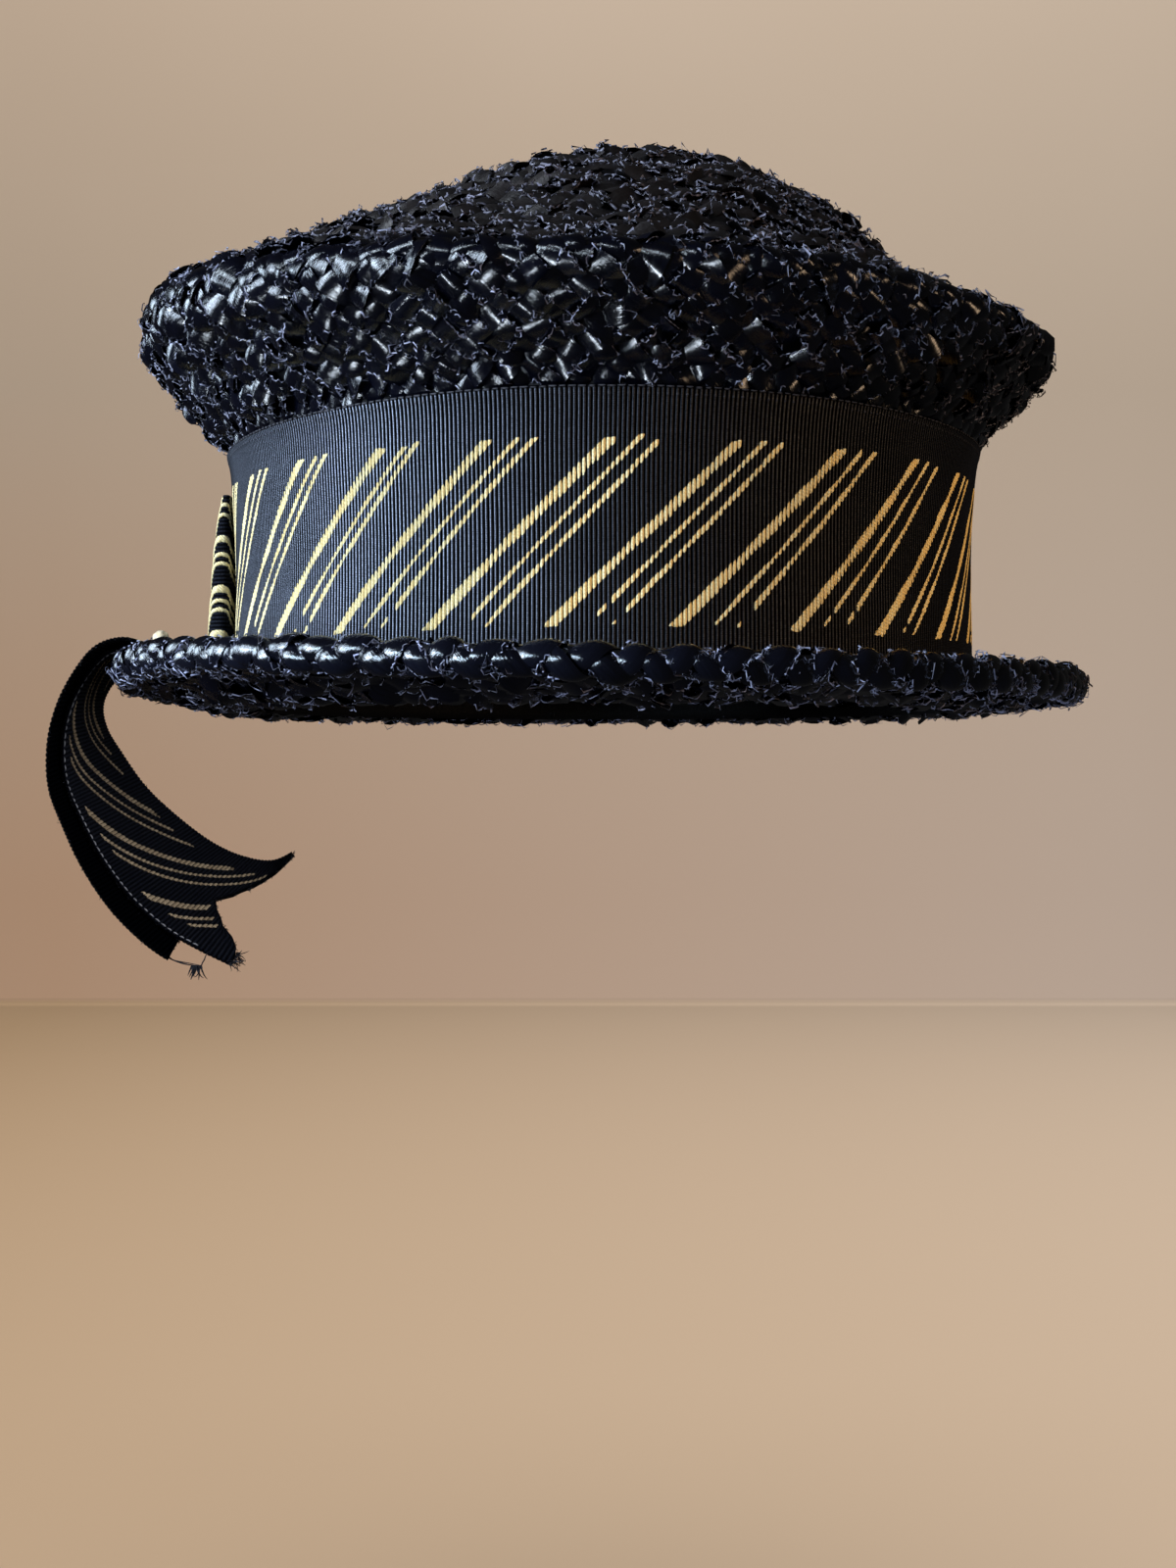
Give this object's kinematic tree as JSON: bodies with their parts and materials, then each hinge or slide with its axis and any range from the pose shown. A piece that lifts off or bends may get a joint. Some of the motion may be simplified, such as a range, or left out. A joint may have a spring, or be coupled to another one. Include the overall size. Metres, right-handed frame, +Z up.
{
  "type": "straw breton hat",
  "caption": "Small straw hat with a swelling domed crown, short upturned brim with plaited edge, striped grosgrain band, side loop and hanging ribbon tails",
  "frame": {"origin": "middle of the head opening, level with the lower edge of the crown", "axes": "+Z up out of the crown, front of the hat towards -Y, wearer's right (the side with the ribbon tails) towards -X"},
  "size_m": [0.2331, 0.2529, 0.1858],
  "materials": {
    "straw": "glossy woven straw, near-black navy",
    "straw_edge": "glossy plaited straw, near-black navy",
    "ribbon": "ribbed grosgrain with woven gold slanted stripes",
    "ribbon_reverse": "reverse of the ribbon, muted tan stripes",
    "ribbon_dark": "plain dark grosgrain",
    "pearl": "cream pearl pin head"
  },
  "bodies": {
    "root": {"crown": "straw", "brim": "straw_edge", "hat_band": "ribbon", "ribbon_loop": "ribbon", "tail_front": "ribbon_reverse", "tail_under": "ribbon_dark", "pin_head": "pearl"}
  },
  "joints": []
}
